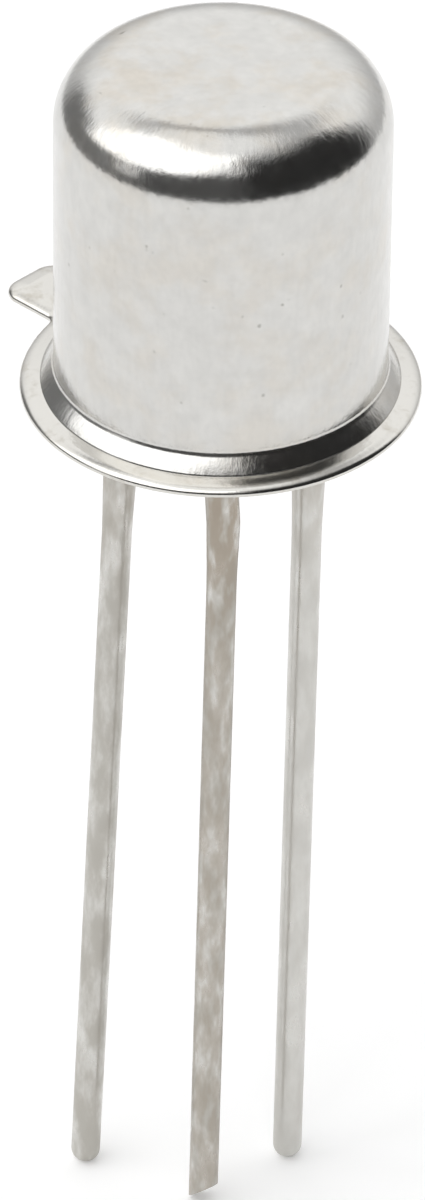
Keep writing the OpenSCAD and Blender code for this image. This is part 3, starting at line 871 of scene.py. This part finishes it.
class OBJECT_OT_transistor_chip(bpy.types.Operator):
    """Finish the glass, the die, its solder, its pads and its bond wires"""
    bl_idname = "object.transistor_chip"
    bl_label = "Glass and Die"

    def execute(self, context):
        finishes = context.scene.transistor_finishes
        solder = finish_material("Scrubbed gold solder", gold_solder, finishes)
        film = finish_material("Evaporated aluminium", evaporated_aluminium, finishes)
        gold = finish_material("Drawn gold", gold_wire, finishes)
        for node, finish in (
            ("glass_seal", finish_material("Fired sealing glass", sealing_glass, finishes)),
            ("silicon_die", finish_material("Diced silicon", diced_silicon, finishes)),
            ("die_attach", solder),
            ("emitter_pad", film),
            ("base_pad", film),
            ("emitter_bond_wire", gold),
            ("base_bond_wire", gold),
        ):
            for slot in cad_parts[node].material_slots:
                slot.material = finish
        return {"FINISHED"}


# ---------------------------------------------------------------------------- stage

def place_camera(studio):
    """Sets the camera on its line of sight, with its shift and its roll."""
    elevation, roll = studio.camera_elevation, studio.camera_roll
    back = Vector((0, -math.cos(elevation), math.sin(elevation)))
    right = Vector((1, 0, 0))
    up = back.cross(right)
    turned_right = math.cos(roll) * right + math.sin(roll) * up
    turned_up = math.cos(roll) * up - math.sin(roll) * right
    data = bpy.data.cameras.new("Camera")
    data.sensor_width = 36
    data.lens = studio.camera_lens
    data.clip_start = 0.01
    data.clip_end = 10
    camera = add_object("Camera", data)
    axes = Matrix((turned_right, turned_up, back)).transposed()
    place = studio.camera_right * turned_right + studio.camera_up * turned_up + studio.camera_distance * back
    camera.matrix_world = Matrix.Translation(place) @ axes.to_4x4()
    bpy.context.scene.camera = camera


def lay_floor(studio):
    """Lays a sheet of white paper under the leads. The paper keeps the shadows that fall on it."""
    bm = bmesh.new()
    bmesh.ops.create_circle(bm, cap_ends=True, segments=PAPER_STEPS, radius=studio.floor_r)
    bmesh.ops.translate(bm, verts=bm.verts, vec=(0, 0, CAD_BOX[0].z))
    floor = mesh_object(bm, "floor")
    material, tree = start_material("White paper")
    paper = add_node(tree, "ShaderNodeBsdfDiffuse", {"Color": studio.floor_colour})
    rays = add_node(tree, "ShaderNodeLightPath", output=None)
    seen = rays["Is Camera Ray"]
    for ray in ("Is Glossy Ray", "Is Transmission Ray"):
        seen = add_node(tree, "ShaderNodeMath", {0: seen, 1: rays[ray]}, operation="MAXIMUM")
    lift = add_node(tree, "ShaderNodeMath", {0: seen, 1: studio.floor_lift}, operation="MULTIPLY")
    glow = add_node(tree, "ShaderNodeEmission", {"Color": (1, 1, 1, 1), "Strength": lift})
    both = add_node(tree, "ShaderNodeAddShader", {0: paper, 1: glow})
    add_node(tree, "ShaderNodeOutputMaterial", {"Surface": both})
    floor.data.materials.append(material)


# Soft-edged patches of light round the object, each painted over those before it: left and right heading in
# degrees to the right of the camera, low and high height in degrees above the horizon, softness of the sides
# and of the ends, lean of the right edge outwards, fall of the lower edge to the left, and brightness
PATCHES = (
    # The room in front, its darker middle and its darkest corner
    (-142, 112, -60, 24, 8, 8, 0, 0, 0.22),
    (-60, 104, -60, 38, 14, 8, 0, 0, 0.09),
    (14, 108, -60, 64, 10, 18, 0, 0, 0.03),
    # A pale wall low on the left
    (-74, -58, 4, 30, 5, 5, 0, 0, 0.80),
    # The dimmer ceiling behind, at the right and at the left
    (100, 200, 52, 70, 20, 10, 0, 0, 0.50),
    (-200, -120, 54, 62, 20, 4, 0, 0, 0.45),
    # The lamp, high on the left
    (-106, -58, 36, 72, 8, 4, 1.15, 0.20, 1.90),
)


def light_room():
    """Paints the light round the object: pale walls, a dark room in front, and a large soft lamp."""
    world = bpy.data.worlds.new("Studio")
    world.use_nodes = True
    tree = world.node_tree
    tree.nodes.clear()
    way = add_node(tree, "ShaderNodeTexCoord", output="Generated")
    split = add_node(tree, "ShaderNodeSeparateXYZ", {0: way}, output=None)
    lift = add_node(tree, "ShaderNodeMath", {0: split["Z"]}, operation="ARCSINE")
    front = add_node(tree, "ShaderNodeMath", {0: split["Y"], 1: -1.0}, operation="MULTIPLY")
    bearing = add_node(tree, "ShaderNodeMath", {0: split["X"], 1: front}, operation="ARCTAN2")
    height = add_node(tree, "ShaderNodeMath", {0: lift, 1: math.degrees(1)}, operation="MULTIPLY")
    heading = add_node(tree, "ShaderNodeMath", {0: bearing, 1: math.degrees(1)}, operation="MULTIPLY")
    # The walls all round brighten upwards
    light = add_node(
        tree, "ShaderNodeMapRange", {0: height, 1: -5.0, 2: 38.0, 3: 0.62, 4: 1.17},
        interpolation_type="SMOOTHSTEP")
    for left, right, low, high, sides, ends, lean, fall, level in PATCHES:
        leaning = add_node(
            tree, "ShaderNodeMath", {0: height, 1: -lean, 2: heading}, operation="MULTIPLY_ADD")
        falling = add_node(
            tree, "ShaderNodeMath", {0: heading, 1: -fall, 2: height}, operation="MULTIPLY_ADD")
        share = 1.0
        for value, start, end in (
            (heading, left - sides, left + sides),
            (leaning, right + sides, right - sides),
            (falling, low - ends, low + ends),
            (height, high + ends, high - ends),
        ):
            share = add_node(
                tree, "ShaderNodeMapRange", {0: value, 1: start, 2: end, 3: 0.0, 4: share},
                interpolation_type="SMOOTHSTEP")
        light = add_node(tree, "ShaderNodeMix", {0: share, 2: light, 3: level}, data_type="FLOAT")
    # Past the paper's edge the eye meets plain white
    seen = add_node(tree, "ShaderNodeLightPath", output="Is Camera Ray")
    strength = add_node(tree, "ShaderNodeMix", {0: seen, 2: light, 3: 1.0}, data_type="FLOAT")
    sky = add_node(tree, "ShaderNodeBackground", {"Color": (1, 1, 1, 1), "Strength": strength})
    add_node(tree, "ShaderNodeOutputWorld", {"Surface": sky})
    bpy.context.scene.world = world


class OBJECT_OT_transistor_stage(bpy.types.Operator):
    """Lay the floor, light it and set the camera"""
    bl_idname = "object.transistor_stage"
    bl_label = "Studio"

    def execute(self, context):
        studio = context.scene.transistor_studio
        place_camera(studio)
        lay_floor(studio)
        light_room()
        context.scene.view_settings.view_transform = "Standard"
        return {"FINISHED"}


# ---------------------------------------------------------------------------- panel

class VIEW3D_PT_transistor(bpy.types.Panel):
    bl_label = "Transistor"
    bl_idname = "VIEW3D_PT_transistor"
    bl_space_type = "VIEW_3D"
    bl_region_type = "UI"
    bl_category = "Transistor"

    def draw(self, context):
        for operator in OPERATORS:
            self.layout.operator(operator.bl_idname)


OPERATORS = (
    OBJECT_OT_transistor_can,
    OBJECT_OT_transistor_header,
    OBJECT_OT_transistor_leads,
    OBJECT_OT_transistor_chip,
    OBJECT_OT_transistor_stage,
)
GROUPS = {
    "transistor_can": CanSizes,
    "transistor_header": HeaderSizes,
    "transistor_leads": LeadSizes,
    "transistor_finishes": Finishes,
    "transistor_studio": Studio,
}


def register():
    for group in GROUPS.values():
        bpy.utils.register_class(group)
    for name, group in GROUPS.items():
        setattr(bpy.types.Scene, name, bpy.props.PointerProperty(type=group))
    for operator in OPERATORS:
        bpy.utils.register_class(operator)
    bpy.utils.register_class(VIEW3D_PT_transistor)


def unregister():
    bpy.utils.unregister_class(VIEW3D_PT_transistor)
    for operator in reversed(OPERATORS):
        bpy.utils.unregister_class(operator)
    for name, group in GROUPS.items():
        delattr(bpy.types.Scene, name)
        bpy.utils.unregister_class(group)


def main():
    register()
    bpy.ops.object.transistor_can()
    bpy.ops.object.transistor_header()
    bpy.ops.object.transistor_leads()
    bpy.ops.object.transistor_chip()
    bpy.ops.object.transistor_stage()


if __name__ == "__main__":
    main()
